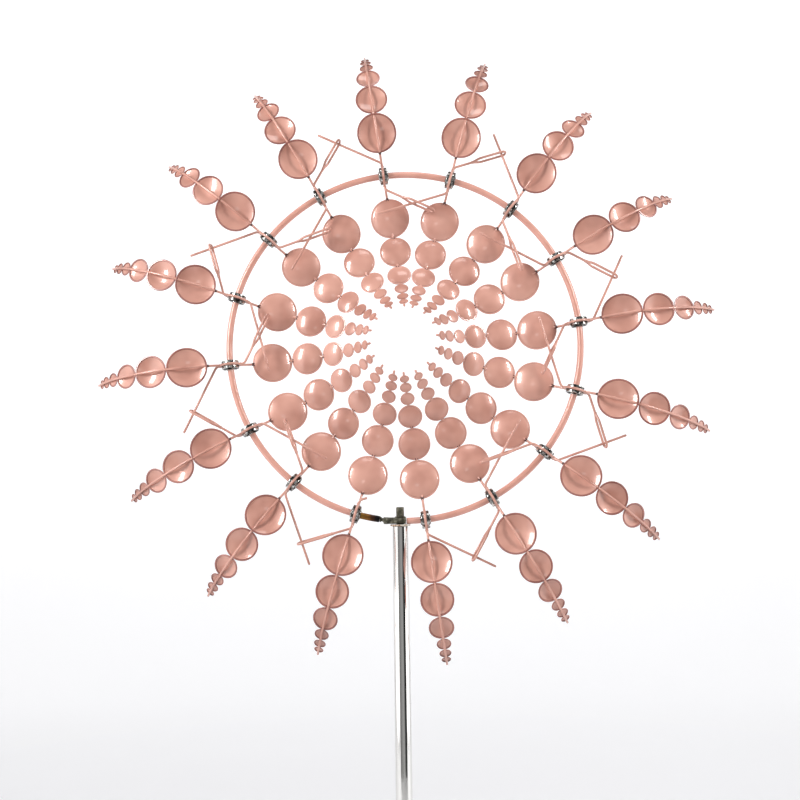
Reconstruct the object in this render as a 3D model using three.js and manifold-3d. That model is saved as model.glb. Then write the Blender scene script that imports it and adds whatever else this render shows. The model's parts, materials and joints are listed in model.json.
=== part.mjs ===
// Kinetic wind sculpture: sixteen two-armed wings turn on ball bearings threaded on an upright ring,
// and each wing's fork holds the next wing's pin, so that all of them turn together.
// The ring sits on a stud in the top of a pole, and the pole stands on a stake in the ground.
// Millimetres, +Z up. The pole's axis is the Z axis, the ground is z = 0, and the front looks along -Y.
import * as THREE from "three";
import { mergeVertices } from "three/addons/utils/BufferGeometryUtils.js";
import Module from "manifold-3d";

const wasm = await Module();
wasm.setup();

// Driving dimensions
const WING_COUNT = 16;
const WING_BEFORE_POLE = 9; // has no fork, because the pole is in the way
const WING_AFTER_POLE = 10; // its pin is cut short
const RING_RADIUS = 222; // ring tube's centre line
const RING_TUBE_RADIUS = 4;
const RING_OFFSET_X = 8; // the ring's centre stands this far beside the pole's axis
const FIRST_WING_ANGLE = 96; // degrees, anticlockwise from +X as seen from the front
const GAP = 0.3; // clearance between neighbouring pieces

const BEARING_WIDTH = 10;
const INNER_RACE_WIDTH = 12.5;
const BEARING_OUTER_RADIUS = 11;
const RACE_SPLIT_RADIUS = 6;
const BEARING_SIDES = 10;

const WIRE_RADIUS = 1.5;
const WIRE_SIDES = 4;
const HOOP_RADIUS = BEARING_OUTER_RADIUS + GAP + WIRE_RADIUS;

const ARM_ROOT_ANGLE = 29.65; // degrees that an arm leaves the hub in front of the crank plane
const ARM_STRAIGHT = 15; // straight length from the hub's centre
const ARM_BEND_RADIUS = 127;
const ARM_LENGTH = 205; // along the wire from the hub's centre
const ARM_STEPS = 5;
const DISC_DIAMETERS = [50.5, 41, 31, 18, 15, 12];
const DISC_STATIONS = [55, 101, 137.6, 162.8, 180, 194]; // along the wire from the hub's centre
const DISC_DEPTH_RATIO = 0.13;
const DISC_THICKNESS = 1.2;
const DISC_SHOULDER = { radius: 0.62, depth: 0.7 }; // shares of the disc's radius and depth
const LARGE_DISC_RADIUS = 10; // a disc over this has a shoulder and more sides

// Degrees clockwise round the ring that some wings' arms are bent, as seen from the front.
const ARM_LEANS = { 1: -2, 7: -1.5, 8: -2, 9: -1.5, 16: -2 };

const CRANK_BEND = 17.8; // from the hub's centre to where the fork and the pin turn aside
const CRANK_ANGLE = 31.9; // degrees between a crank wire and the bearing's axis plane
const FORK_LENGTH = 71; // from the bend to the eye's tip
const EYE_START = 26;
const EYE_FULL_WIDTH_AT = 35;
const EYE_HALF_WIDTH = 4.5; // between the eye's middle line and either wire
const EYE_TWIST = 12; // degrees
const EYE_CORNER = 0.55 * EYE_HALF_WIDTH; // how far the eye's far end is cut off its corners
const PIN_LENGTH = 93;
const PIN_STUB_LENGTH = 10;

const LUG_SIZE = { length: 28, width: 16, height: 8 };
const LUG_NECK = { radiusAtLug: 3, radiusAtStub: 2.4, overlap: 4, rise: 2, sides: 8 };
const LUG_TAPER = { left: 0.6, right: 0.7 }; // shares of the width at its two ends
const STUD_CLEARANCE = 0.4; // round the stud
const STUD_CHAMFER = 1;
const STUD_RADIUS = 5;
const STUD_ABOVE_RING = 17;
const STUD_LENGTH = 50;
const STUD_SIDES = 16;
const WASHER_RADIUS = 12.5;
const WASHER_THICKNESS = 2;
const POLE_RADIUS = 10;
const POLE_WALL = 1.5;
const POLE_TOP = 720;
const POLE_SIDES = 20;
const PLUG_LENGTH = 26;
const STAKE_RADIUS = 8;
const STAKE_SPIGOT = 150; // length inside the pole
const STAKE_DEPTH = 220; // below the ground
const STAKE_POINT = 45; // length of the stake's cone
const STAKE_CLEARANCE = 0.5; // round the stake in the foot plate
const FOOT_PLATE = { length: 120, width: 30, thickness: 4 };

// The stub is the bare end of the ring beside the lug, between these angles.
const STUB_FROM = -105.3;
const STUB_TO = -98.7;
const RING_SEGMENTS = 48;
const RING_SIDES = 8;

const LUG_MIDDLE = -Math.sqrt(RING_RADIUS ** 2 - RING_OFFSET_X ** 2); // height below the ring's centre
const RING_CENTRE_Z =
  POLE_TOP + 2 * GAP + WASHER_THICKNESS + LUG_SIZE.height / 2 - LUG_MIDDLE;

const radians = THREE.MathUtils.degToRad;
const GAP_ANGLE = THREE.MathUtils.radToDeg(GAP / RING_RADIUS); // degrees of the ring that the gap covers
const lerp = THREE.MathUtils.lerp;

// A path through given points, with a mitred section at each of them.
class WirePath extends THREE.Curve {
  constructor(points) {
    super();
    this.points = points;
  }

  getPoint(t, target = new THREE.Vector3()) {
    const last = this.points.length - 1;
    const i = Math.min(Math.floor(t * last + 1e-9), last - 1);
    return target.lerpVectors(this.points[i], this.points[i + 1], t * last - i);
  }

  getPointAt(u, target) {
    return this.getPoint(u, target);
  }

  getTangentAt(u, target = new THREE.Vector3()) {
    const last = this.points.length - 1;
    const i = Math.round(u * last);
    const before = this.points[Math.max(i - 1, 0)];
    const here = this.points[i];
    const after = this.points[Math.min(i + 1, last)];
    const coming = here.clone().sub(before).normalize();
    const going = after.clone().sub(here).normalize();
    return target.copy(coming).add(going).normalize();
  }
}

// A closed three.js geometry as a solid, with its faces turned out.
function solid(geometry) {
  const bare = geometry.clone();
  bare.deleteAttribute("normal");
  bare.deleteAttribute("uv");
  const merged = mergeVertices(bare, 1e-4);
  const triVerts = new Uint32Array(merged.index.array);
  const vertProperties = merged.attributes.position.array;
  const made = new wasm.Manifold(new wasm.Mesh({ numProp: 3, vertProperties, triVerts }));
  if (made.volume() > 0) {
    return made;
  }
  triVerts.reverse();
  return new wasm.Manifold(new wasm.Mesh({ numProp: 3, vertProperties, triVerts }));
}

function joined(geometries) {
  return geometries.map(solid).reduce((whole, piece) => whole.add(piece));
}

function geometryOf(made) {
  const { vertProperties, triVerts } = made.getMesh();
  const geometry = new THREE.BufferGeometry();
  geometry.setAttribute("position", new THREE.BufferAttribute(new Float32Array(vertProperties), 3));
  geometry.setIndex(new THREE.BufferAttribute(new Uint32Array(triVerts), 1));
  geometry.computeVertexNormals();
  return geometry;
}

const FINISHES = {
  paint: { color: 0xd98c7c, roughness: 0.35, metalness: 0.2 },
  bearingSteel: { color: 0xb9b9bb, roughness: 0.25, metalness: 1 },
  heatTint: { color: 0x7a5426, roughness: 0.5, metalness: 0.8 },
  darkSteel: { color: 0x4a463e, roughness: 0.55, metalness: 0.8 },
  polished: { color: 0xd6d6d4, roughness: 0.1, metalness: 1 },
};

function node(name, made, finish) {
  const material = new THREE.MeshStandardMaterial({ ...FINISHES[finish], flatShading: true });
  const mesh = new THREE.Mesh(geometryOf(made), material);
  mesh.name = name;
  return mesh;
}

function polygon(radius, sides, turn) {
  const corner = (i) => turn + (2 * Math.PI * i) / sides;
  const point = (i) => new THREE.Vector2(radius * Math.cos(corner(i)), radius * Math.sin(corner(i)));
  return new THREE.Shape(Array.from({ length: sides }, (_, i) => point(i)));
}

function wire(points) {
  const section = polygon(WIRE_RADIUS, WIRE_SIDES, Math.PI / WIRE_SIDES);
  const steps = points.length - 1;
  return new THREE.ExtrudeGeometry(section, { steps, extrudePath: new WirePath(points) });
}

// A solid of revolution about Z from [radius, height] pairs.
function turned(profile, sides) {
  const points = profile.map(([r, z]) => new THREE.Vector2(r, z));
  return new THREE.LatheGeometry(points, sides).rotateX(Math.PI / 2);
}

// A turned ring with a rectangular section, and Z as its axis.
function collar(inner, outer, from, to, sides) {
  const profile = [
    [inner, from],
    [outer, from],
    [outer, to],
    [inner, to],
    [inner, from],
  ];
  return turned(profile, sides);
}

// A round cutter along Z.
function drill(radius, length) {
  return new THREE.CylinderGeometry(radius, radius, length, STUD_SIDES).rotateX(Math.PI / 2);
}

// The wing's own frame: X points out of the ring, Y away from the front, and Z along the bearing's axis,
// anticlockwise. The hub's centre is the origin. tilt is how far the arm points to the front.
function armAt(length) {
  const root = radians(ARM_ROOT_ANGLE);
  const bent = Math.max(length - ARM_STRAIGHT, 0) / ARM_BEND_RADIUS;
  const tilt = root - bent;
  const straight = Math.min(length, ARM_STRAIGHT);
  const x = straight * Math.cos(root) + ARM_BEND_RADIUS * (Math.sin(root) - Math.sin(tilt));
  const y = -straight * Math.sin(root) - ARM_BEND_RADIUS * (Math.cos(tilt) - Math.cos(root));
  return { point: new THREE.Vector3(x, y, 0), tilt };
}

function armWire() {
  const bentStation = (_, i) => lerp(ARM_STRAIGHT, ARM_LENGTH, (i + 1) / ARM_STEPS);
  const stations = [HOOP_RADIUS, ARM_STRAIGHT, ...Array.from({ length: ARM_STEPS }, bentStation)];
  return wire(stations.map((length) => armAt(length).point));
}

// A shallow dish, whose rim lies on the wire and whose back bulges away from it.
function disc(index) {
  const radius = DISC_DIAMETERS[index] / 2;
  const depth = DISC_DIAMETERS[index] * DISC_DEPTH_RATIO;
  const large = radius > LARGE_DISC_RADIUS;
  const shoulderRadius = DISC_SHOULDER.radius * radius;
  const shoulderHeight = DISC_SHOULDER.depth * depth;
  const mouth = [0, depth - DISC_THICKNESS];
  const mouthShoulder = [shoulderRadius, shoulderHeight - DISC_THICKNESS];
  const backShoulder = [shoulderRadius, shoulderHeight];
  const rim = [radius, 0];
  const back = [0, depth];
  const profile = large ? [mouth, mouthShoulder, rim, backShoulder, back] : [mouth, rim, back];
  const sides = large ? 8 : 6;
  const dish = turned(profile, sides).rotateZ(Math.PI / sides);
  const { point, tilt } = armAt(DISC_STATIONS[index]);
  dish.translate(0, 0, WIRE_RADIUS * 0.5);
  dish.rotateX(-Math.PI / 2);
  dish.rotateZ(-tilt);
  return dish.translate(point.x, point.y, point.z);
}

// A point of a crank wire, side +1 for the pin and -1 for the fork, with an offset across the eye.
function crankAt(length, side, offset = 0) {
  const angle = radians(CRANK_ANGLE);
  const twist = radians(EYE_TWIST);
  const along = new THREE.Vector3(Math.sin(angle), 0, Math.cos(angle));
  const across = new THREE.Vector3(Math.cos(angle), 0, -Math.sin(angle));
  const point = new THREE.Vector3(CRANK_BEND, 0, 0).addScaledVector(along, length);
  point.addScaledVector(across, offset * Math.sin(twist));
  point.y = offset * Math.cos(twist);
  return point.multiply(new THREE.Vector3(side, 1, side));
}

function pinWire(length) {
  return wire([new THREE.Vector3(HOOP_RADIUS, 0, 0), crankAt(0, 1), crankAt(length, 1)]);
}

function forkWires() {
  const shank = wire([new THREE.Vector3(-HOOP_RADIUS, 0, 0), crankAt(0, -1), crankAt(EYE_START + 1, -1)]);
  const turn = FORK_LENGTH - WIRE_RADIUS;
  const half = [
    [EYE_START, WIRE_RADIUS * 0.4],
    [EYE_FULL_WIDTH_AT, EYE_HALF_WIDTH],
    [turn - EYE_HALF_WIDTH + EYE_CORNER, EYE_HALF_WIDTH],
    [turn, EYE_CORNER],
  ];
  const outline = [...half, ...half.map(([length, offset]) => [length, -offset]).reverse()];
  return [shank, wire(outline.map(([length, offset]) => crankAt(length, -1, offset)))];
}

function armWithDiscs() {
  const discs = DISC_DIAMETERS.map((_, index) => disc(index));
  return [armWire(), ...discs];
}

// A whole wing: hoop, two arms, and the fork and pin that it has.
function wing(hasFork, pinLength, lean) {
  const outward = armWithDiscs();
  const inward = armWithDiscs().map((piece) => piece.rotateZ(Math.PI));
  const arms = [...outward, ...inward].map((piece) => piece.rotateY(radians(lean)));
  const hoop = new THREE.TorusGeometry(HOOP_RADIUS, WIRE_RADIUS, WIRE_SIDES, BEARING_SIDES);
  const pieces = [hoop.rotateZ(Math.PI / 2), ...arms];
  pieces.push(pinWire(pinLength));
  if (hasFork) {
    pieces.push(...forkWires());
  }
  return joined(pieces);
}

// Everything that rides on the ring at one bearing.
function wingStation(number) {
  const angle = radians(FIRST_WING_ANGLE - (360 / WING_COUNT) * (number - 1));
  const half = BEARING_WIDTH / 2;
  const innerHalf = INNER_RACE_WIDTH / 2;
  const bore = RING_TUBE_RADIUS + 2 * GAP;
  const split = RACE_SPLIT_RADIUS + 2 * GAP;
  const label = String(number).padStart(2, "0");
  const station = new THREE.Group();
  station.position.set(RING_RADIUS * Math.cos(angle), 0, RING_RADIUS * Math.sin(angle));
  station.rotation.y = -angle;
  const odd = number % 2 === 1; // an even wing is turned half round, so that its fork points outwards
  const lean = ARM_LEANS[number] ?? 0;
  const pinLength = number === WING_AFTER_POLE ? PIN_STUB_LENGTH : PIN_LENGTH;
  const made = wing(number !== WING_BEFORE_POLE, pinLength, odd ? lean : -lean);
  const wingMesh = node("wing_" + label, made, "paint");
  wingMesh.rotation.z = odd ? 0 : Math.PI;
  const outer = solid(collar(split, BEARING_OUTER_RADIUS, -half, half, BEARING_SIDES));
  const inner = solid(collar(bore, RACE_SPLIT_RADIUS, -innerHalf, innerHalf, BEARING_SIDES));
  station.add(wingMesh);
  station.add(node("bearing_outer_race_" + label, outer, "bearingSteel"));
  station.add(node("bearing_inner_race_" + label, inner, "bearingSteel"));
  return station;
}

// A full ring in the XZ plane, whose straight facets lie across the bearings.
function wholeRing() {
  const step = (2 * Math.PI) / RING_SEGMENTS;
  const cornerRadius = RING_RADIUS / Math.cos(step / 2);
  const ring = new THREE.TorusGeometry(cornerRadius, RING_TUBE_RADIUS, RING_SIDES, RING_SEGMENTS);
  ring.rotateZ(radians(FIRST_WING_ANGLE) + step / 2);
  return solid(ring.rotateX(Math.PI / 2));
}

// A wedge of the XZ plane between two angles, thick enough to cut the ring.
function wedge(from, to) {
  const reach = RING_RADIUS * 1.3;
  const corner = (angle) => new THREE.Vector2(Math.cos(radians(angle)), Math.sin(radians(angle)));
  const rays = [corner(from), corner(to)].map((ray) => ray.multiplyScalar(reach));
  const outline = [new THREE.Vector2(0, 0), ...rays];
  const thick = 4 * RING_TUBE_RADIUS;
  const cutter = new THREE.ExtrudeGeometry(new THREE.Shape(outline), { depth: thick, bevelEnabled: false });
  return solid(cutter.translate(0, 0, -thick / 2).rotateX(Math.PI / 2));
}

function ringTube() {
  return wholeRing().subtract(wedge(STUB_FROM - GAP_ANGLE, -90));
}

function ringStub() {
  return wholeRing().intersect(wedge(STUB_FROM, STUB_TO));
}

// The lug drops over the stud, and its neck reaches the stub's end.
function ringLug() {
  const right = -2 * GAP;
  const left = right - LUG_SIZE.length;
  const halfWidth = LUG_SIZE.width / 2;
  const outline = new THREE.Shape();
  outline.moveTo(left, -halfWidth * LUG_TAPER.left);
  outline.lineTo(-RING_OFFSET_X, -halfWidth);
  outline.lineTo(right, -halfWidth * LUG_TAPER.right);
  outline.lineTo(right, halfWidth * LUG_TAPER.right);
  outline.lineTo(-RING_OFFSET_X, halfWidth);
  outline.lineTo(left, halfWidth * LUG_TAPER.left);
  const plate = new THREE.ExtrudeGeometry(outline, { depth: LUG_SIZE.height, bevelEnabled: false });
  plate.translate(0, 0, LUG_MIDDLE - LUG_SIZE.height / 2);
  const reach = RING_RADIUS * Math.cos(radians(STUB_TO));
  const { radiusAtLug, radiusAtStub, overlap, rise, sides } = LUG_NECK;
  const neck = new THREE.CylinderGeometry(radiusAtLug, radiusAtStub, left - reach + overlap, sides);
  neck.rotateZ(Math.PI / 2).translate((left + reach) / 2, 0, LUG_MIDDLE + rise);
  const hole = drill(STUD_RADIUS + STUD_CLEARANCE, 5 * LUG_SIZE.height);
  hole.translate(-RING_OFFSET_X, 0, LUG_MIDDLE);
  const cut = solid(hole).add(wedge(STUB_FROM, STUB_TO + GAP_ANGLE));
  return joined([plate, neck]).subtract(cut);
}

function head() {
  const group = new THREE.Group();
  group.position.set(RING_OFFSET_X, 0, RING_CENTRE_Z);
  for (let number = 1; number <= WING_COUNT; number++) {
    group.add(wingStation(number));
  }
  group.add(node("ring_tube", ringTube(), "paint"));
  group.add(node("ring_end_stub", ringStub(), "heatTint"));
  group.add(node("ring_lug", ringLug(), "darkSteel"));
  return group;
}

function stud() {
  const top = RING_CENTRE_Z - RING_RADIUS + STUD_ABOVE_RING;
  const bottom = top - STUD_LENGTH;
  const profile = [
    [0, bottom],
    [STUD_RADIUS - STUD_CHAMFER, bottom],
    [STUD_RADIUS, bottom + STUD_CHAMFER],
    [STUD_RADIUS, top - STUD_CHAMFER],
    [STUD_RADIUS - STUD_CHAMFER, top],
    [0, top],
  ];
  return solid(turned(profile, STUD_SIDES));
}

function groundStake() {
  const inside = FOOT_PLATE.thickness + GAP + STAKE_SPIGOT;
  const profile = [
    [0, -STAKE_DEPTH],
    [STAKE_RADIUS, -STAKE_DEPTH + STAKE_POINT],
    [STAKE_RADIUS, inside],
    [0, inside],
  ];
  return solid(turned(profile, STUD_SIDES));
}

function footPlate() {
  const { length, width, thickness } = FOOT_PLATE;
  const plate = new THREE.BoxGeometry(length, width, thickness).translate(0, 0, thickness / 2);
  return solid(plate).subtract(solid(drill(STAKE_RADIUS + STAKE_CLEARANCE, 5 * thickness)));
}

function stand() {
  const group = new THREE.Group();
  const bore = POLE_RADIUS - POLE_WALL;
  const clearHole = STUD_RADIUS + STUD_CLEARANCE;
  const poleFoot = FOOT_PLATE.thickness + GAP;
  const pole = collar(bore, POLE_RADIUS, poleFoot, POLE_TOP, POLE_SIDES);
  const plug = collar(clearHole, bore - 2 * GAP, POLE_TOP - PLUG_LENGTH, POLE_TOP, STUD_SIDES);
  const washerBottom = POLE_TOP + GAP;
  const washer = collar(clearHole, WASHER_RADIUS, washerBottom, washerBottom + WASHER_THICKNESS, STUD_SIDES);
  group.add(node("pole", solid(pole), "polished"));
  group.add(node("pole_plug", solid(plug), "darkSteel"));
  group.add(node("pole_washer", solid(washer), "darkSteel"));
  group.add(node("pole_stud", stud(), "darkSteel"));
  group.add(node("ground_stake", groundStake(), "darkSteel"));
  group.add(node("foot_plate", footPlate(), "darkSteel"));
  return group;
}

const sculpture = new THREE.Group();
sculpture.add(head());
sculpture.add(stand());

export default sculpture;
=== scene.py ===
import json
import math
import random

import bmesh
import bpy
from mathutils import Matrix, Vector, noise


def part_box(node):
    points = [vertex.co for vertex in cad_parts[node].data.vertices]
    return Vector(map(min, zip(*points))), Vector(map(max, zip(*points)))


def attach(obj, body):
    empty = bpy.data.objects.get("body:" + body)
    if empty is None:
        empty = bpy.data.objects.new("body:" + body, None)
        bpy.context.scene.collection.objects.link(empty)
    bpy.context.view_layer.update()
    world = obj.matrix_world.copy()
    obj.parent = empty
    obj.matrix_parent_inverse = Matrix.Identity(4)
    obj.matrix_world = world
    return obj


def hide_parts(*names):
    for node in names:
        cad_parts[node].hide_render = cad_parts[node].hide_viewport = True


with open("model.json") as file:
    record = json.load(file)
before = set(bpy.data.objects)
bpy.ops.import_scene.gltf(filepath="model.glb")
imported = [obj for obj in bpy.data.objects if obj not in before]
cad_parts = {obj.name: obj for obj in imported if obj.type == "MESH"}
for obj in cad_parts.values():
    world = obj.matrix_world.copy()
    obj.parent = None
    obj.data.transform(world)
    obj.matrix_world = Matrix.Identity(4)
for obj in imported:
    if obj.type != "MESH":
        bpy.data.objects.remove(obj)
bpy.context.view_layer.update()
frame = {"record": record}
RECORD = frame["record"]
MM = 0.001

# ---------------------------------------------------------------- the sculpture, in millimetres
WINGS = 16
WING_BEFORE_POLE = 9  # it has no fork, because the chain of wings is open at the pole
WING_AFTER_POLE = 10  # its pin is cut short
ARM_LEANS = {1: -2, 7: -1.5, 8: -2, 9: -1.5, 16: -2}  # degrees round the ring that a wing's arms are bent

RING_RADIUS = 222.0
TUBE_RADIUS = 4.0
RING_FROM, RING_TO = -90.05, 360 - 105.45  # degrees round the ring, from +X towards +Z
STUB_FROM, STUB_TO = -105.3, -98.7

WIRE_RADIUS = 1.5
HOOP_RADIUS = 12.8
ROOT_ANGLE = math.radians(29.65)  # between the arm's root and the plane of the hoop
ARM_STRAIGHT = 15.0  # from the hub to where the bend begins
ARM_BEND_RADIUS = 127.0
ARM_LENGTH = 205.0

DISC_DIAMETERS = [50.5, 41.0, 31.0, 18.0, 15.0, 12.0]
DISC_PLACES = [55.0, 101.0, 137.6, 162.8, 180.0, 194.0]  # of the discs' middles along the arm
LARGE_DISC_RADIUS = 10.0
DEPTH_RATIO = 0.13
SHEET = 0.75  # the disc's thickness
LIP_RADIUS = 0.6
DISH_STEPS = [0, 0.16, 0.32, 0.48, 0.62, 0.74, 0.84, 0.92, 0.97, 1]  # shares of the bowl's radius
DISH_POWER = 2.1  # 2 would be a parabola
DISC_LEAN, DISC_TWIST = 2.2, 3.0  # degrees by which a disc may be welded on askew

CRANK_BEND = 17.8  # from the hub to the crank's corner
CRANK_ANGLE = math.radians(31.9)  # between the crank and the bearing's axis
CRANK_BEND_ENDS = 4.5  # along the crank from its corner
FORK_LENGTH, FORK_STEM = 71.0, 26.0  # along the crank to the eye's tip, and to the end of its single wire
EYE_WELD, EYE_FROM, EYE_WIDE_AT = 25.5, 24.0, 37.0  # along the crank from its corner
EYE_NARROW, EYE_HALF = 0.55, 4.5  # half of the eye's width at its weld and beyond
EYE_TWIST = math.radians(12)
PIN_LENGTH, PIN_STUB = 93.0, 10.0

OUTER_RACE_HALF, INNER_RACE_HALF = 5.0, 6.25  # half of each race's width
BEARING_RADIUS = 11.0
SHIELD_HOLE, SHIELD_RADIUS = 6.9, 9.2
SHIELD_DEPTH, SHIELD_BACK = 0.55, 1.2  # below the race's end face
POLE_RADIUS, POLE_BORE = 10.0, 8.5
STAKE_RADIUS = 8.0
THREAD_PITCH = 1.1
LUMP_HEIGHT = 0.22  # of the noise on a bead of weld, as a share of its radius
LUMP_WAVES = 1.7  # of that noise, in each radius

AXES = [Vector((1, 0, 0)), Vector((0, 1, 0)), Vector((0, 0, 1))]
# The third slot is painted shade: darker paint in the creases by a disc's flange and on the lower half of its
# rolled edge.
PAINT_SLOT, WELD_SLOT, RIM_SHADE_SLOT = range(3)

# ---------------------------------------------------------------- the studio, in metres and degrees
FOCAL_LENGTH, SENSOR_WIDTH = 39.429, 36
CAMERA_AZIMUTH, CAMERA_ELEVATION, CAMERA_ROLL = -1.668, -6.969, -0.841
CAMERA_DISTANCE = 1.1
CAMERA_AIM = Vector((-0.00607, 0, -0.07158))  # from the ring's centre
WORLD_LIGHT, WORLD_SEEN = 0.3, 0.95
# The dark screen stands between the two side lights.
SCREEN_RADIUS, SCREEN_HEIGHT = 1.45, 2.3
SCREEN_LEFT, SCREEN_RIGHT = -37, 56
SCREEN_STEPS = 24
# The screen's greys, each after its share of the way from left to right.
SCREEN_GREYS = [(0.0, 0.1), (0.08, 0.22), (0.3, 0.3), (0.6, 0.4), (0.72, 0.2), (0.8, 0.03), (1.0, 0.02)]
PANEL_MIDDLE = 1.07
FLOOR_Z = -0.003
FLOOR_FRONT, WALL_FOOT, WALL_CURVE, WALL_TOP = -6.0, 2.4, 1.3, 6.0
FLOOR_HALF_WIDTH = 7
# The paper glows a little, more so further off, so that it looks evenly pale.
GLOW_FROM, GLOW_TO, GLOW = 1.3, 6.0, 0.66

hubs, hub_axes = [], []
for i in range(WINGS):
    joint = next(j for j in RECORD["behaviour"]["joints"] if j["name"] == "wing_%02d_spin" % (i + 1))
    hubs.append(Vector(joint["pos_m"]))
    hub_axes.append(Vector(joint["axis"]).normalized())
RING_CENTRE = sum(hubs, Vector()) / WINGS


# ---------------------------------------------------------------- camera and lights
def camera():
    """The camera looks slightly up at the ring from almost straight in front."""
    data = bpy.data.cameras.new("view")
    data.sensor_width = SENSOR_WIDTH
    data.lens = FOCAL_LENGTH
    data.clip_start = 0.02
    data.clip_end = 50
    cam = bpy.data.objects.new("view", data)
    bpy.context.collection.objects.link(cam)
    az, el, roll = (math.radians(a) for a in (CAMERA_AZIMUTH, CAMERA_ELEVATION, CAMERA_ROLL))
    back = Vector((-math.sin(az) * math.cos(el), -math.cos(az) * math.cos(el), math.sin(el)))
    right = Vector((math.cos(az), -math.sin(az), 0))
    up = back.cross(right)
    rolled_right = right * math.cos(roll) + up * math.sin(roll)
    rolled_up = up * math.cos(roll) - right * math.sin(roll)
    place = Matrix((rolled_right, rolled_up, back)).transposed().to_4x4()
    place.translation = RING_CENTRE + CAMERA_AIM + back * CAMERA_DISTANCE
    cam.matrix_world = place
    bpy.context.scene.camera = cam


def area_light(name, place, aim, size, watts):
    """A rectangular lamp at a place, turned to its aim, which the camera doesn't see."""
    data = bpy.data.lights.new(name, "AREA")
    data.shape = "RECTANGLE"
    data.size, data.size_y = size
    data.energy = watts
    light = bpy.data.objects.new(name, data)
    bpy.context.collection.objects.link(light)
    light.location = place
    light.rotation_euler = (aim - place).to_track_quat("-Z", "Y").to_euler()
    light.visible_camera = False


def world_light():
    """An even pale surround, brighter to the eye than the light that it sheds."""
    world = bpy.data.worlds.new("studio")
    bpy.context.scene.world = world
    world.use_nodes = True
    nodes, links = world.node_tree.nodes, world.node_tree.links
    strength = nodes.new("ShaderNodeMapRange")
    strength.inputs["To Min"].default_value = WORLD_LIGHT
    strength.inputs["To Max"].default_value = WORLD_SEEN
    links.new(nodes.new("ShaderNodeLightPath").outputs["Is Camera Ray"], strength.inputs["Value"])
    background = nodes["Background"]
    background.inputs["Color"].default_value = (0.97, 0.97, 1.0, 1)
    links.new(strength.outputs["Result"], background.inputs["Strength"])


def at_azimuth(degrees, distance, height):
    """A place in the studio, degrees to the right of the line from the ring to the front."""
    a = math.radians(degrees)
    return Vector((RING_CENTRE.x + distance * math.sin(a), -distance * math.cos(a), height))


def studio():
    """A bright narrow lamp and a tall soft panel on either side, and a wash of light on the backdrop."""
    ring = RING_CENTRE
    middle = Vector((ring.x, 0, PANEL_MIDDLE))
    area_light("lamp_left", at_azimuth(-50, 1.6, 1.5), ring, size=(0.34, 0.85), watts=19)
    area_light("lamp_right", at_azimuth(57, 1.6, 1.65), ring, size=(0.3, 0.8), watts=25)
    area_light("panel_left", at_azimuth(-68, 1.75, PANEL_MIDDLE), middle, size=(2.0, 2.1), watts=13)
    area_light("panel_right", at_azimuth(80, 1.75, PANEL_MIDDLE), middle, size=(1.5, 2.1), watts=11)
    area_light("lamp_top", ring + Vector((0.1, -0.6, 1.6)), ring, size=(0.8, 0.5), watts=5)
    area_light("lamp_front", Vector((-0.2, -1.35, 0.9)), ring, size=(0.25, 0.18), watts=0.4)
    above, foot = ring + Vector((0, 1.2, 2.2)), ring + Vector((0, 3.4, 0.4))
    area_light("wall_wash", above, foot, size=(5.0, 0.8), watts=28)
    world_light()
    bpy.context.scene.view_settings.view_transform = "Standard"


def stage_strip(name, rows, shader):
    """A strip of faces between rows of two points, which is part of the stage."""
    bm = bmesh.new()
    made = [[bm.verts.new(point) for point in row] for row in rows]
    for a, b in zip(made, made[1:]):
        bm.faces.new((a[0], a[1], b[1], b[0]))
    mesh = bpy.data.meshes.new(name)
    bm.to_mesh(mesh)
    bm.free()
    mesh.materials.append(shader.material)
    obj = bpy.data.objects.new(name, mesh)
    bpy.context.collection.objects.link(obj)
    return obj


def dark_screen():
    """A curved dark screen in front of the object, which the camera doesn't see."""
    s = Shader("screen_cloth", (0, 0, 0), 1.0)
    left, right = (at_azimuth(a, SCREEN_RADIUS, 0).x for a in (SCREEN_LEFT, SCREEN_RIGHT))
    across = s.span(s.coordinate("X"), left, right)
    glow = s.ramp(across, [(at, (grey, grey, grey)) for at, grey in SCREEN_GREYS])
    s.links.new(glow, s.principled.inputs["Emission Color"])
    s.principled.inputs["Emission Strength"].default_value = 1.0
    s.principled.inputs["Specular IOR Level"].default_value = 0.0
    step = (SCREEN_RIGHT - SCREEN_LEFT) / SCREEN_STEPS
    angles = [SCREEN_LEFT + step * i for i in range(SCREEN_STEPS + 1)]
    rows = [[at_azimuth(a, SCREEN_RADIUS, z) for z in (SCREEN_HEIGHT, 0.0)] for a in angles]
    stage_strip("dark_screen", rows, s).visible_camera = False


def backdrop():
    """A pale paper floor that curves up into a wall behind the object."""
    s = Shader("paper", (0.86, 0.86, 0.87), 0.9)
    distance = s.nodes.new("ShaderNodeVectorMath")
    distance.operation = "LENGTH"
    s.links.new(s.place, distance.inputs[0])
    glow = s.span(distance.outputs["Value"], GLOW_FROM, GLOW_TO, 0, GLOW)
    s.principled.inputs["Emission Color"].default_value = (1, 1, 1, 1)
    s.links.new(glow, s.principled.inputs["Emission Strength"])
    s.bump((s.noise(300), 0.0002, 0.2))
    path = [(FLOOR_FRONT, 0), (WALL_FOOT, 0)]
    for k in range(1, 10):
        a = math.radians(10 * k)
        path.append((WALL_FOOT + WALL_CURVE * math.sin(a), WALL_CURVE - WALL_CURVE * math.cos(a)))
    path.append((WALL_FOOT + WALL_CURVE, WALL_TOP))
    rows = [[(x, y, z + FLOOR_Z) for x in (-FLOOR_HALF_WIDTH, FLOOR_HALF_WIDTH)] for y, z in path]
    stage_strip("backdrop", rows, s).data.shade_smooth()


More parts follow.
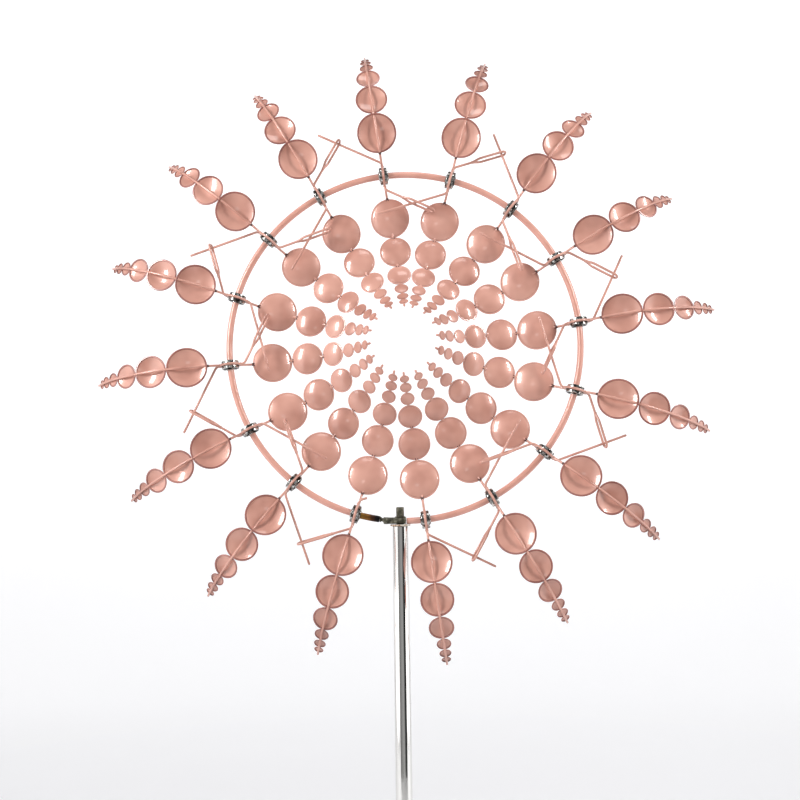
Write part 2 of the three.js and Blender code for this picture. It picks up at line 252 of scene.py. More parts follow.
# ---------------------------------------------------------------- materials
class Shader:
    """A Principled material, with the few kinds of node that the pieces need."""

    def __init__(self, name, colour, roughness, metallic=0.0, coat=0.0):
        self.material = bpy.data.materials.new(name)
        self.material.use_nodes = True
        self.nodes = self.material.node_tree.nodes
        self.links = self.material.node_tree.links
        self.principled = self.nodes["Principled BSDF"]
        self.principled.inputs["Base Color"].default_value = (*colour, 1)
        self.principled.inputs["Roughness"].default_value = roughness
        self.principled.inputs["Metallic"].default_value = metallic
        self.principled.inputs["Coat Weight"].default_value = coat
        self.principled.inputs["Coat Roughness"].default_value = 0.06
        self.place = self.nodes.new("ShaderNodeTexCoord").outputs["Object"]

    def noise(self, scale, detail=3.0, roughness=0.55, stretch=(1, 1, 1)):
        """Cloudy noise with scale clouds to the metre, squeezed by stretch along each axis."""
        mapping = self.nodes.new("ShaderNodeMapping")
        mapping.inputs["Scale"].default_value = stretch
        self.links.new(self.place, mapping.inputs["Vector"])
        node = self.nodes.new("ShaderNodeTexNoise")
        node.inputs["Scale"].default_value = scale
        node.inputs["Detail"].default_value = detail
        node.inputs["Roughness"].default_value = roughness
        self.links.new(mapping.outputs["Vector"], node.inputs["Vector"])
        return node.outputs["Fac"]

    def coordinate(self, axis):
        """How far along X, Y or Z a point of the surface is, in metres."""
        split = self.nodes.new("ShaderNodeSeparateXYZ")
        self.links.new(self.place, split.inputs["Vector"])
        return split.outputs[axis]

    def span(self, value, start, end, low=0.0, high=1.0):
        """Turns a value between start and end into one between low and high."""
        node = self.nodes.new("ShaderNodeMapRange")
        node.inputs["From Min"].default_value = start
        node.inputs["From Max"].default_value = end
        node.inputs["To Min"].default_value = low
        node.inputs["To Max"].default_value = high
        self.links.new(value, node.inputs["Value"])
        return node.outputs["Result"]

    def ramp(self, value, stops):
        """The colour for a value, from stops of (value, colour)."""
        node = self.nodes.new("ShaderNodeValToRGB")
        elements = node.color_ramp.elements
        while len(elements) < len(stops):
            elements.new(0.5)
        for element, (at, colour) in zip(elements, stops):
            element.position = at
            element.color = (*colour, 1)
        self.links.new(value, node.inputs["Fac"])
        return node.outputs["Color"]

    def colour(self, value, stops):
        """Colours the surface by a value."""
        self.links.new(self.ramp(value, stops), self.principled.inputs["Base Color"])

    def roughness(self, value, low, high):
        """Varies the roughness with a noise, most of which lies between 0.3 and 0.7."""
        self.links.new(self.span(value, 0.3, 0.7, low, high), self.principled.inputs["Roughness"])

    def bump(self, *layers):
        """Adds bumps, each of (height, distance in metres, strength)."""
        normal = None
        for height, distance, strength in layers:
            node = self.nodes.new("ShaderNodeBump")
            node.inputs["Distance"].default_value = distance
            node.inputs["Strength"].default_value = strength
            self.links.new(height, node.inputs["Height"])
            if normal:
                self.links.new(normal, node.inputs["Normal"])
            normal = node.outputs["Normal"]
        self.links.new(normal, self.principled.inputs["Normal"])


def paint_material(name, base, dark, light):
    """Sprayed and lacquered paint, darker and lighter in clouds about 36 mm across: partly the paint's own
    unevenness, partly painted shade and painted light for the shading across the discs.
    """
    s = Shader(name, base, 0.36, 0.1, 0.8)
    speck = s.noise(900, 2.0)
    # The dark and light tones of these clouds are partly painted shade and painted light.
    s.colour(s.noise(28, 2.0), [(0.3, dark), (0.52, base), (0.75, light)])
    s.roughness(speck, 0.32, 0.44)
    s.bump((s.noise(55, 1.0), 0.0008, 0.35), (speck, 0.00005, 0.3))
    return s.material


def weld_material():
    """Dark burnt weld that shows through the paint."""
    s = Shader("burnt_weld", (0.06, 0.02, 0.018), 0.4, 0.4, 0.2)
    grain = s.noise(700)
    s.colour(grain, [(0.35, (0.025, 0.01, 0.009)), (0.65, (0.16, 0.06, 0.05))])
    s.bump((grain, 0.0003, 0.6))
    return s.material


def chrome_material():
    """Bright turned bearing steel, darkened in patches by painted dark reflection."""
    s = Shader("bearing_chrome", (0.5, 0.5, 0.49), 0.13, 1.0)
    # The darkest stops are painted dark reflection, in patches over the steel.
    stops = [(0.4, (0.03, 0.027, 0.024)), (0.5, (0.3, 0.295, 0.28)), (0.6, (0.72, 0.72, 0.7))]
    s.colour(s.noise(190, 3.0, 0.6), stops)
    turned = s.noise(260, 2.0, stretch=(1, 1, 14))
    s.roughness(turned, 0.08, 0.22)
    s.bump((turned, 0.00004, 0.5))
    return s.material


def shield_material():
    """The bearing's dull dark shields."""
    s = Shader("shield_steel", (0.05, 0.045, 0.042), 0.42, 0.8)
    s.roughness(s.noise(500, 2.0), 0.35, 0.55)
    return s.material


def raw_steel_material():
    """Bare steel under black mill scale, bright where the scale is rubbed off."""
    s = Shader("raw_steel", (0.13, 0.12, 0.1), 0.42, 0.9)
    scale = s.noise(160, 5.0, 0.65)
    stops = [
        (0.3, (0.02, 0.019, 0.014)),
        (0.5, (0.1, 0.095, 0.07)),
        (0.62, (0.26, 0.25, 0.19)),
        (0.74, (0.75, 0.73, 0.66)),
    ]
    s.colour(scale, stops)
    s.roughness(scale, 0.32, 0.62)
    s.bump((scale, 0.0006, 0.7), (s.noise(900), 0.0001, 0.5))
    return s.material


def rusty_material():
    """Bright steel with patches of rust."""
    s = Shader("rusty_steel", (0.3, 0.17, 0.09), 0.55, 0.6)
    scale = s.noise(220, 5.0, 0.6)
    stops = [
        (0.3, (0.1, 0.05, 0.03)),
        (0.42, (0.34, 0.17, 0.08)),
        (0.5, (0.62, 0.58, 0.5)),
        (0.7, (0.8, 0.79, 0.75)),
    ]
    s.colour(scale, stops)
    s.bump((scale, 0.0003, 0.6))
    return s.material


def heat_material():
    """Bare tube: golden brown by the bearing, through straw and umber, to burnt black at the weld."""
    s = Shader("heat_tint", (0.3, 0.16, 0.05), 0.33, 0.85)
    low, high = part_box("ring_end_stub")
    grain = s.noise(240, 4.0, 0.65)
    wobble = s.nodes.new("ShaderNodeMath")
    wobble.operation = "MULTIPLY_ADD"
    wobble.inputs[1].default_value = 0.35
    s.links.new(grain, wobble.inputs[0])
    s.links.new(s.span(s.coordinate("X"), low[0], high[0]), wobble.inputs[2])
    stops = [
        (0.14, (0.16, 0.08, 0.022)),
        (0.32, (0.27, 0.14, 0.03)),
        (0.62, (0.2, 0.085, 0.02)),
        (0.85, (0.06, 0.024, 0.012)),
        (1.0, (0.01, 0.009, 0.01)),
    ]
    s.colour(wobble.outputs["Value"], stops)
    s.roughness(grain, 0.26, 0.48)
    s.bump((grain, 0.0002, 0.5))
    return s.material


def polished_material():
    """Polished stainless tube, with faint streaks from drawing."""
    s = Shader("polished_stainless", (0.8, 0.79, 0.765), 0.05, 1.0)
    drawn = s.noise(90, 3.0, stretch=(9, 9, 0.25))
    s.roughness(drawn, 0.035, 0.11)
    s.bump((drawn, 0.00006, 0.35))
    return s.material


def materials():
    """The finishes by name; each paint has its middle, dark and light tone, and its dark and light clouds are
    partly painted shade and painted light.
    """
    return {
        "paint": paint_material(
            "salmon_paint", (0.59, 0.295, 0.228), (0.46, 0.208, 0.155), (0.67, 0.352, 0.275)
        ),
        "ring_paint": paint_material(
            "ring_paint", (0.66, 0.322, 0.252), (0.59, 0.275, 0.21), (0.7, 0.355, 0.28)
        ),
        # The rim paint is painted shade: it darkens the creases by the flange and the lower half of the
        # rolled edge.
        "rim": paint_material("rim_painted_shade", (0.3, 0.11, 0.085), (0.2, 0.07, 0.055), (0.4, 0.16, 0.125)),
        "weld": weld_material(),
        "chrome": chrome_material(),
        "shield": shield_material(),
        "raw": raw_steel_material(),
        "rust": rusty_material(),
        "heat": heat_material(),
        "polished": polished_material(),
    }


# ---------------------------------------------------------------- mesh building, in millimetres
class Mesh:
    """Points and faces that are gathered in millimetres and made into one object in metres."""

    def __init__(self):
        self.verts, self.faces, self.slots = [], [], []

    def add(self, verts, faces, slots):
        """Adds points, faces as lists of those points' numbers, and each face's material slot."""
        base = len(self.verts)
        self.verts.extend(verts)
        self.faces.extend([base + i for i in face] for face in faces)
        self.slots.extend(slots)

    def make(self, name, mats, matrix=None, sharp=38):
        """The object, placed by matrix, with creases where faces meet at over sharp degrees."""
        mesh = bpy.data.meshes.new(name)
        place = matrix or Matrix.Identity(4)
        mesh.from_pydata([place @ (v * MM) for v in self.verts], [], self.faces)
        for material in mats:
            mesh.materials.append(material)
        mesh.polygons.foreach_set("material_index", self.slots)
        mesh.validate()
        bm = bmesh.new()
        bm.from_mesh(mesh)
        bmesh.ops.recalc_face_normals(bm, faces=bm.faces)
        return finished(name, bm, mesh, sharp)


def finished(name, bm, mesh, sharp):
    """Puts a bmesh into its mesh, smooths it but for its creases, and makes the object."""
    bm.to_mesh(mesh)
    bm.free()
    mesh.shade_smooth()
    mesh.set_sharp_from_angle(angle=math.radians(sharp))
    obj = bpy.data.objects.new(name, mesh)
    bpy.context.collection.objects.link(obj)
    return obj


def stands_for(obj, node, body):
    """The object rides on a body and stands in a CAD node's place, whose part is hidden."""
    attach(obj, body)
    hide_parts(node)


def node_box(node):
    """A node's lowest and highest corners in millimetres."""
    return [Vector(corner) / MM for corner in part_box(node)]


def around(count):
    """The angles of count points spaced evenly round a circle."""
    return [2 * math.pi * k / count for k in range(count)]


def quads(rows, sides, wrap=False):
    """Faces between rows of points that go round, and from the last row to the first if they wrap."""
    faces = []
    for i in range(rows if wrap else rows - 1):
        j = (i + 1) % rows
        for k in range(sides):
            m = (k + 1) % sides
            faces.append([i * sides + k, i * sides + m, j * sides + m, j * sides + k])
    return faces


def end_faces(rows, sides):
    """The faces that close the first and the last row."""
    last = (rows - 1) * sides
    return [list(reversed(range(sides))), [last + k for k in range(sides)]]


def sections(points, radii, closed):
    """Each point of a wire with its direction, the two directions across it, and its radius."""
    count = len(points)
    made, normal = [], None
    for i, point in enumerate(points):
        before = points[(i - 1) % count if closed else max(i - 1, 0)]
        after = points[(i + 1) % count if closed else min(i + 1, count - 1)]
        forward = (after - before).normalized()
        if normal is None:
            normal = forward.orthogonal().normalized()
        normal = (normal - forward * normal.dot(forward)).normalized()
        made.append((point, forward, normal, forward.cross(normal), radii[i]))
    return made


def domed_end(section, inward):
    """The two smaller sections of a wire's domed end, from its tip inwards, and the first full one."""
    point, forward, normal, side, radius = section
    made = []
    for angle in (1.35, 0.7):
        depth = (radius - radius * math.sin(angle)) * 0.999
        made.append((point + forward * inward * depth, forward, normal, side, radius * math.cos(angle)))
    made.append((point + forward * inward * radius, forward, normal, side, radius))
    return made


def tube(out, points, radii, sides=12, closed=False, domed=True):
    """A round wire along points, closed on itself or with domed or flat ends; radii may be one number."""
    if not isinstance(radii, list):
        radii = [radii] * len(points)
    rows = sections(points, radii, closed)
    if domed and not closed:
        rows = [*domed_end(rows[0], 1), *rows[1:-1], *reversed(domed_end(rows[-1], -1))]
    verts = []
    for point, _, normal, side, radius in rows:
        verts.extend(point + (normal * math.cos(a) + side * math.sin(a)) * radius for a in around(sides))
    faces = quads(len(rows), sides, closed)
    if not closed:
        faces += end_faces(len(rows), sides)
    out.add(verts, faces, [PAINT_SLOT] * len(faces))


def lathe(out, profile, sides, matrix=None, closed=True, slots=None):
    """Turns (radius, height) points about Z. A closed profile goes round a hole, an open one ends on Z."""
    place = matrix or Matrix.Identity(4)
    verts, rows = [], []
    for radius, height in profile:
        turns = around(sides if radius else 1)
        rows.append(range(len(verts), len(verts) + len(turns)))
        verts.extend(place @ Vector((radius * math.cos(a), radius * math.sin(a), height)) for a in turns)
    faces, face_slots = [], []
    for i in range(len(profile) if closed else len(profile) - 1):
        a, b = rows[i], rows[(i + 1) % len(profile)]
        for k in range(sides):
            m = (k + 1) % sides
            if len(a) == 1:
                face = [a[0], b[m], b[k]]
            elif len(b) == 1:
                face = [a[k], a[m], b[0]]
            else:
                face = [a[k], a[m], b[m], b[k]]
            faces.append(face)
            face_slots.append(slots[i] if slots else 0)
    out.add(verts, faces, face_slots)


def blob(out, centre, radii, seed, axes=AXES, slot=PAINT_SLOT, rings=7, sides=10):
    """A small lumpy bead of weld, whose lumps come from its seed."""
    verts = []
    for i in range(rings + 1):
        down = math.pi * i / rings
        for turn in around(sides):
            way = Vector((math.sin(down) * math.cos(turn), math.sin(down) * math.sin(turn), math.cos(down)))
            lump = 1 + LUMP_HEIGHT * noise.noise(way * LUMP_WAVES + Vector((seed, 3 * seed, 0)))
            reach = sum((axes[j] * way[j] * radii[j] for j in range(3)), Vector())
            verts.append(centre + reach * lump)
    faces = quads(rings + 1, sides) + end_faces(rings + 1, sides)
    out.add(verts, faces, [slot] * len(faces))


def lumpiness(rng):
    """A bead's seed."""
    return rng.uniform(0, 9)


# ---------------------------------------------------------------- the wings
def arm_at(s):
    """A point of the arm's wire, s along it from the hub, and its tilt to the front."""
    tilt = ROOT_ANGLE - max(s - ARM_STRAIGHT, 0) / ARM_BEND_RADIUS
    straight = min(s, ARM_STRAIGHT)
    x = straight * math.cos(ROOT_ANGLE) + ARM_BEND_RADIUS * (math.sin(ROOT_ANGLE) - math.sin(tilt))
    y = -straight * math.sin(ROOT_ANGLE) - ARM_BEND_RADIUS * (math.cos(tilt) - math.cos(ROOT_ANGLE))
    return Vector((x, y, 0)), tilt


def dish_profile(radius, depth):
    """The dish's section from the middle of its back, round its rolled edge, to the middle of its mouth.

    A point is (radius, height, slot), and its slot colours the face that it starts.
    """
    flange = 1.5 if radius > LARGE_DISC_RADIUS else 0.8
    bowl = radius - LIP_RADIUS - flange
    foot = 2.6 * LIP_RADIUS

    def height(share):
        return (depth - foot) * (1 - share ** DISH_POWER) + foot

    # The face where the bowl meets the flange, the step and the lip's lower half take the rim slot, whose
    # darker paint is painted shade.
    back = [(bowl * share, height(share), RIM_SHADE_SLOT if share == 1 else PAINT_SLOT) for share in DISH_STEPS]
    ledge = [(r, 2 * LIP_RADIUS, PAINT_SLOT) for r in (bowl + 0.22, radius - LIP_RADIUS)]
    edge = []
    for a in (1.0, 0.5, 0, -0.5, -1.0, -1.57):
        out, up = LIP_RADIUS * math.cos(a), LIP_RADIUS * math.sin(a)
        edge.append((radius - LIP_RADIUS + out, LIP_RADIUS + up, RIM_SHADE_SLOT if a < 0 else PAINT_SLOT))
    step = [(bowl + 0.1, 0.02, RIM_SHADE_SLOT)]
    mouth = []
    for share in reversed(DISH_STEPS):
        mouth.append(((bowl - 0.25) * share, max(height(share) - SHEET, 0.12), PAINT_SLOT))
    return [*back, *ledge, *edge, *step, *mouth]


def disc(out, index, rng, bend):
    """One dished disc, welded to the arm's wire by four beads."""
    radius = DISC_DIAMETERS[index] / 2
    large = radius > LARGE_DISC_RADIUS
    point, tilt = arm_at(DISC_PLACES[index])
    outermost = index == len(DISC_DIAMETERS) - 1
    lean = 0 if outermost else math.radians(rng.uniform(-DISC_LEAN, DISC_LEAN))
    place = (
        bend
        @ Matrix.Translation(point)
        @ Matrix.Rotation(-tilt + lean, 4, "Z")
        @ Matrix.Rotation(-math.pi / 2, 4, "X")
        @ Matrix.Translation(AXES[2] * WIRE_RADIUS * 0.5)
        @ Matrix.Rotation(math.radians(rng.uniform(-DISC_TWIST, DISC_TWIST)), 4, "X")
    )
    profile = dish_profile(radius, DISC_DIAMETERS[index] * DEPTH_RATIO)
    sides = 56 if radius > 14 else 36
    section, slots = [p[:2] for p in profile], [p[2] for p in profile]
    lathe(out, section, sides, place, closed=False, slots=slots)
    size = 1.05 if large else 0.6
    bead = (size * 1.4, size * 0.8, size * 0.7)
    inset, above, beside = 0.9, 0.9, 1.25
    for end in (-1, 1):
        at, slope = arm_at(DISC_PLACES[index] + end * (radius - inset))
        along = Vector((math.cos(slope), -math.sin(slope), 0))
        up = Vector((math.sin(slope), math.cos(slope), 0))
        axes = [bend.to_3x3() @ a for a in (along, AXES[2], up)]
        slot = WELD_SLOT if end < 0 else PAINT_SLOT
        for side in (-1, 1):
            spot = bend @ (at + up * above + AXES[2] * side * beside)
            blob(out, spot, bead, lumpiness(rng), axes, slot, 5, 8)
    if index == 0:
        at, _ = arm_at(DISC_PLACES[0] - radius - 0.5)
        blob(out, bend @ at, (2.3, 1.9, 1.9), lumpiness(rng), axes, WELD_SLOT)


def arm(out, rng, bend):
    """An arm's curved wire, the weld at its root and its discs, from the largest to the smallest."""
    count = 44
    reach = ARM_LENGTH - HOOP_RADIUS
    points = [bend @ arm_at(HOOP_RADIUS + reach * i / count)[0] for i in range(count + 1)]
    tube(out, points, WIRE_RADIUS)
    root, _ = arm_at(HOOP_RADIUS + 0.7)
    blob(out, bend @ root, (2.3, 2.2, 1.9), lumpiness(rng), [bend.to_3x3() @ a for a in AXES])
    for index in range(len(DISC_DIAMETERS)):
        disc(out, index, rng, bend)


def crank_at(length, side, offset=0.0):
    """A point of a crank, length along it from its corner and offset across it in the eye's plane."""
    along = Vector((math.sin(CRANK_ANGLE), 0, math.cos(CRANK_ANGLE)))
    across = Vector((math.cos(CRANK_ANGLE), 0, -math.sin(CRANK_ANGLE)))
    p = Vector((CRANK_BEND, 0, 0)) + along * length + across * offset * math.sin(EYE_TWIST)
    return Vector((p.x * side, offset * math.cos(EYE_TWIST), p.z * side))


def bent_start(side):
    """The crank's wire from the hoop round its bend."""
    corner, away = crank_at(0, side), crank_at(CRANK_BEND_ENDS, side)
    start = Vector((HOOP_RADIUS * side, 0, 0))
    points = [start]
    for i in range(9):
        t = i / 8
        points.append(start.lerp(corner, 0.35 + 0.65 * t).lerp(corner.lerp(away, t), t))
    return points


def crank_wire(out, side, length, steps):
    """A crank's wire from the hoop to length beyond its corner."""
    rest = length - CRANK_BEND_ENDS
    points = bent_start(side)
    points += [crank_at(CRANK_BEND_ENDS + rest * i / steps, side) for i in range(1, steps + 1)]
    tube(out, points, WIRE_RADIUS)


def crank_root(out, side, rng):
    """The weld between a crank and the hoop."""
    blob(out, Vector(((HOOP_RADIUS + 0.4) * side, 0, 0)), (2.0, 2.3, 2.1), lumpiness(rng))


def pin(out, length, rng):
    """The crank that reaches into the neighbour's eye."""
    crank_wire(out, 1, length, 10)
    crank_root(out, 1, rng)


def fork(out, rng):
    """The crank that ends in a long eye of bent wire."""
    crank_wire(out, -1, FORK_STEM, 6)
    turn_at = FORK_LENGTH - WIRE_RADIUS - EYE_HALF
    half = []
    for i in range(13):
        t = i / 12
        opened = 0.5 - 0.5 * math.cos(math.pi * t)
        half.append((EYE_FROM + (EYE_WIDE_AT - EYE_FROM) * t, EYE_NARROW + (EYE_HALF - EYE_NARROW) * opened))
    half += [(EYE_WIDE_AT + (turn_at - EYE_WIDE_AT) * i / 8, EYE_HALF) for i in range(1, 9)]
    for a in (0.25, 0.52, 0.79, 1.05, 1.31):
        half.append((turn_at + EYE_HALF * math.sin(a), EYE_HALF * math.cos(a)))
    loop = half + [(turn_at + EYE_HALF, 0)] + [(s, -offset) for s, offset in reversed(half)]
    tube(out, [crank_at(s, -1, offset) for s, offset in loop], WIRE_RADIUS)
    along = crank_at(1, -1) - crank_at(0, -1)
    axes = [along, AXES[1], along.cross(AXES[1])]
    blob(out, crank_at(EYE_WELD, -1), (3.2, 2.2, 1.9), lumpiness(rng), axes)
    crank_root(out, -1, rng)


def wings(mats):
    """The sixteen wings, with every second one turned half round, and their bearings."""
    half_turn = Matrix.Rotation(math.pi, 4, "Z")
    for number, (hub, axis) in enumerate(zip(hubs, hub_axes), 1):
        rng = random.Random(100 + number)
        out = Mesh()
        hoop = [Vector((HOOP_RADIUS * math.cos(a), HOOP_RADIUS * math.sin(a), 0)) for a in around(48)]
        tube(out, hoop, WIRE_RADIUS, closed=True)
        lean = ARM_LEANS.get(number, 0) * (1 if number % 2 else -1)
        bend = Matrix.Rotation(math.radians(lean), 4, "Y")
        arm(out, rng, bend)
        arm(out, rng, bend @ half_turn)
        pin(out, PIN_STUB if number == WING_AFTER_POLE else PIN_LENGTH, rng)
        if number != WING_BEFORE_POLE:
            fork(out, rng)
        place = Matrix((AXES[1].cross(axis), AXES[1], axis)).transposed().to_4x4()
        place.translation = hub
        if number % 2 == 0:
            place = place @ half_turn
        label = "%02d" % number
        # The third material is the rim's painted shade.
        wing = out.make("painted_wing_" + label, [mats["paint"], mats["weld"], mats["rim"]], place)
        stands_for(wing, "wing_" + label, "wing_assembly_" + label)
        outer_race(label, place, mats)
        inner_race(label, place, mats)


def sleeve_profile(inner, outer, low, high, bore_chamfer, edge_chamfer):
    """The section of a sleeve with its four edges cut off; a chamfer is (across, along)."""
    bore_across, bore_along = bore_chamfer
    edge_across, edge_along = edge_chamfer
    return [
        (inner, low + bore_along),
        (inner + bore_across, low),
        (outer - edge_across, low),
        (outer, low + edge_along),
        (outer, high - edge_along),
        (outer - edge_across, high),
        (inner + bore_across, high),
        (inner, high - bore_along),
    ]


def outer_race(label, place, mats):
    """The bearing's outer race, with a groove round it and sunken shields."""
    shield = [(SHIELD_HOLE, SHIELD_BACK), (SHIELD_HOLE, SHIELD_DEPTH), (SHIELD_RADIUS, SHIELD_DEPTH)]
    inner_edge = [(SHIELD_RADIUS + 0.15, 0.1), (SHIELD_RADIUS + 0.3, 0)]
    outer_edge = [(BEARING_RADIUS - 0.5, 0), (BEARING_RADIUS - 0.15, 0.15), (BEARING_RADIUS, 0.5)]
    groove = [(BEARING_RADIUS, -0.5), (BEARING_RADIUS - 0.14, -0.25)]
    lower = [(radius, z - OUTER_RACE_HALF) for radius, z in shield + inner_edge + outer_edge] + groove
    profile = lower + [(radius, -z) for radius, z in reversed(lower)]
    slots = [1 if max(a[0], b[0]) <= SHIELD_RADIUS else 0 for a, b in zip(profile, profile[1:] + profile[:1])]
    out = Mesh()
    lathe(out, profile, 56, slots=slots)
    piece = out.make("outer_race_" + label, [mats["chrome"], mats["shield"]], place, 30)
    stands_for(piece, "bearing_outer_race_" + label, "wing_assembly_" + label)


def inner_race(label, place, mats):
    """The bearing's inner race, which is longer than the outer one."""
    bore, radius, chamfer = 4.3, 6.0, (0.3, 0.3)
    out = Mesh()
    lathe(out, sleeve_profile(bore, radius, -INNER_RACE_HALF, INNER_RACE_HALF, chamfer, chamfer), 44)
    piece = out.make("inner_race_" + label, [mats["chrome"]], place, 30)
    stands_for(piece, "bearing_inner_race_" + label, "head")


# ---------------------------------------------------------------- ring, lug, stud and stand
def on_ring(degrees):
    """A point of the ring's centre line, from the ring's centre."""
    a = math.radians(degrees)
    return Vector((RING_RADIUS * math.cos(a), 0, RING_RADIUS * math.sin(a)))


def ring_stretch(name, node, material, start, end, count, end_cut):
    """A stretch of the ring's tube between two angles, with its end edges taken off by end_cut."""
    out = Mesh()
    points = [RING_CENTRE / MM + on_ring(start + (end - start) * i / count) for i in range(count + 1)]
    radii = [TUBE_RADIUS] * len(points)
    radii[0] = radii[-1] = TUBE_RADIUS - end_cut
    tube(out, points, radii, 28, domed=False)
    stands_for(out.make(name, [material], None, 40), node, "head")


def ring_parts(mats):
    """The painted ring and the bare browned end that is welded to the lug."""
    paint, heat = mats["ring_paint"], mats["heat"]
    ring_stretch("painted_ring", "ring_tube", paint, RING_FROM, RING_TO, 260, 0.25)
    ring_stretch("browned_stub", "ring_end_stub", heat, STUB_FROM, STUB_TO, 14, 0.3)


def lug(mats):
    """A rough forged lug round the stud, and the beads that weld it to the ring and to the stud."""
    low, high = node_box("ring_lug")
    middle = (low.z + high.z) / 2
    top, shoulder, foot, underside = middle + 4.0, middle + 2.9, middle - 3.0, middle - 3.9
    left, right = -20.4, 7.2
    roughness = 0.32
    bm = bmesh.new()
    rows = []
    for x, half in ((left, 4.6), (-12, 5.6), (-4, 7.4), (0, 7.8), (4, 7.4), (right, 5.4)):
        outline = [
            (-half, foot),
            (-half, shoulder),
            (-half / 2, top - 0.1),
            (half / 2, top - 0.1),
            (half, shoulder),
            (half, foot),
            (half / 2, underside),
            (-half / 2, underside),
        ]
        rows.append([bm.verts.new((x, y, z)) for y, z in outline])
    for a, b in zip(rows, rows[1:]):
        for k in range(len(a)):
            m = (k + 1) % len(a)
            bm.faces.new((a[k], a[m], b[m], b[k]))
    bm.faces.new(list(reversed(rows[0])))
    bm.faces.new(rows[-1])
    bmesh.ops.recalc_face_normals(bm, faces=bm.faces)
    bmesh.ops.subdivide_edges(bm, edges=bm.edges[:], cuts=3, use_grid_fill=True, smooth=0.15)
    for v in bm.verts:
        v.co += v.normal * roughness * noise.noise(v.co * 0.35)
        v.co *= MM
    mesh = bpy.data.meshes.new("rough_lug")
    mesh.materials.append(mats["raw"])
    stands_for(finished("rough_lug", bm, mesh, 35), "ring_lug", "head")
    lug_welds(mats, left, middle, top)


def lug_welds(mats, left, middle, top):
    """The necked weld from the lug to the ring's end, and the rings of beads round its joints."""
    out = Mesh()
    stub_end = RING_CENTRE / MM + on_ring(STUB_TO + 0.12)
    lug_end = Vector((left + 2, 0, middle + 0.4))
    neck = [stub_end.lerp(lug_end, t) for t in (0, 0.18, 0.36, 0.52, 0.68, 0.84, 1)]
    tube(out, neck, [2.6, 2.9, 2.3, 2.1, 2.7, 3.1, 3.3], 14, domed=False)
    rng = random.Random(7)
    for a in around(9):
        spot = Vector((left + 1.2, 3.1 * math.cos(a), middle + 0.4 + 3.0 * math.sin(a)))
        blob(out, spot, (1.5, 1.3, 1.2), lumpiness(rng), rings=6, sides=9)
    for a in around(13):
        spot = Vector((5.6 * math.cos(a), 5.6 * math.sin(a), top + 0.1))
        blob(out, spot, (1.3, 1.3, 0.95), lumpiness(rng), rings=6, sides=9)
    for a in around(5):
        spot = stub_end + Vector((0.6, 2.4 * math.cos(a), 2.4 * math.sin(a)))
        blob(out, spot, (1.2, 1.2, 1.2), lumpiness(rng), rings=6, sides=9)
    beads = out.make("weld_beads", [mats["raw"]])
    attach(beads, "head")


def turned_piece(name, node, body, material, profile, sides, sharp, closed=False):
    """A piece turned about the pole's axis."""
    out = Mesh()
    lathe(out, profile, sides, closed=closed)
    stands_for(out.make(name, [material], None, sharp), node, body)


def stud(mats):
    """The threaded stud that the head turns on."""
    low, high = (corner.z for corner in node_box("pole_stud"))
    crest, root = 4.98, 4.72
    threads = []
    z = low + 1.2
    while z < high - 2.2:
        threads += [(crest, z), (root, z + THREAD_PITCH / 2)]
        z += THREAD_PITCH
    profile = [(0, low), (4.1, low), (4.9, low + 0.9), *threads, (4.95, high - 1.2), (4.1, high), (0, high)]
    turned_piece("stud", "pole_stud", "head", mats["raw"], profile, 40, 50)


def washer(mats):
    """The thin washer between the pole and the lug."""
    low, high = (corner.z for corner in node_box("pole_washer"))
    bore, radius = 5.5, 12.5
    profile = sleeve_profile(bore, radius, low, high, (0.2, 0.2), (0.3, 0.4))
    turned_piece("rusty_washer", "pole_washer", "stand", mats["rust"], profile, 56, 40, True)


def pole(mats):
    """The polished pole's tube."""
    low, high = (corner.z for corner in node_box("pole"))
    rings = [low + 0.6 + (high - low - 1.2) * k / 12 for k in range(13)]
    profile = [(POLE_BORE + 0.2, low), (POLE_RADIUS - 0.3, low), (POLE_RADIUS, low + 0.3)]
    profile += [(POLE_RADIUS, z) for z in rings]
    profile += [(POLE_RADIUS, high - 0.3), (POLE_RADIUS - 0.3, high), (POLE_BORE + 0.2, high)]
    profile += [(POLE_BORE, high - 0.2), (POLE_BORE, low + 0.2)]
    turned_piece("polished_pole", "pole", "stand", mats["polished"], profile, 72, 30, True)


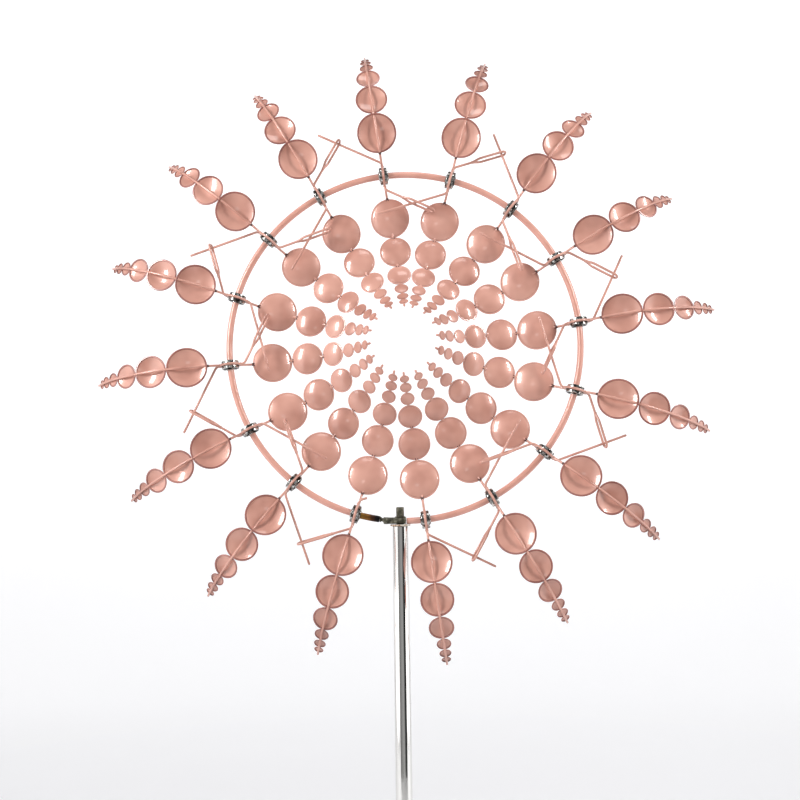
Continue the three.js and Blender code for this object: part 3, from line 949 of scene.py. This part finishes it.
def plug(mats):
    """The plug in the pole's top, which the stud turns in."""
    low, high = (corner.z for corner in node_box("pole_plug"))
    bore, radius = 5.42, 7.9
    profile = [(bore + 0.18, low), (radius - 0.3, low), (radius, low + 0.4), (radius, high - 0.3)]
    profile += [(radius - 0.3, high), (bore + 0.18, high), (bore, high - 0.2), (bore, low + 0.2)]
    turned_piece("plug", "pole_plug", "stand", mats["raw"], profile, 44, 30, True)


def stake(mats):
    """The pointed stake that goes into the ground."""
    low, high = (corner.z for corner in node_box("ground_stake"))
    point = [(0, low), (1.4, low + 6), (STAKE_RADIUS - 0.4, low + 43)]
    shaft = [(STAKE_RADIUS, low + 46), (STAKE_RADIUS, high - 0.8), (STAKE_RADIUS - 0.7, high), (0, high)]
    turned_piece("stake", "ground_stake", "stand", mats["raw"], point + shaft, 40, 30)


def foot_plate(mats):
    """A pressed tread with rounded corners, a round hole for the stake, and a rolled edge."""
    low, high = node_box("foot_plate")
    half_x, half_y = (high.x - low.x) / 2, (high.y - low.y) / 2
    hole_radius, thickness, corner_power = 8.5, 4, 7.0
    count = 96
    hole, rim = [], []
    for a in around(count):
        c, s = math.cos(a), math.sin(a)
        hole.append(Vector((hole_radius * c, hole_radius * s, 0)))
        reach = (abs(c) ** corner_power + abs(s) ** corner_power) ** (-1 / corner_power)
        rim.append(Vector((half_x * c * reach, half_y * s * reach, 0)))
    verts = []
    for inset, z in ((1.0, 0), (0.2, 0.5), (0, 1.2), (0, 2.8), (0.3, 3.6), (1.2, thickness)):
        shrink_x, shrink_y = 1 - inset / half_x, 1 - inset / half_y
        verts += [Vector((v.x * shrink_x, v.y * shrink_y, low.z + z)) for v in rim]
    for share in (0.35, 0.7):
        verts += [r.lerp(h, share) + Vector((0, 0, low.z + thickness)) for r, h in zip(rim, hole)]
    for widened, z in ((1.04, thickness), (1, thickness - 0.4), (1, 0.4), (1.04, 0)):
        verts += [h * widened + Vector((0, 0, low.z + z)) for h in hole]
    faces = quads(len(verts) // count, count, True)
    out = Mesh()
    out.add(verts, faces, [0] * len(faces))
    stands_for(out.make("tread_plate", [mats["raw"]], None, 30), "foot_plate", "stand")


camera()
studio()
dark_screen()
MATS = materials()
wings(MATS)
ring_parts(MATS)
lug(MATS)
stud(MATS)
washer(MATS)
pole(MATS)
plug(MATS)
stake(MATS)
foot_plate(MATS)
backdrop()
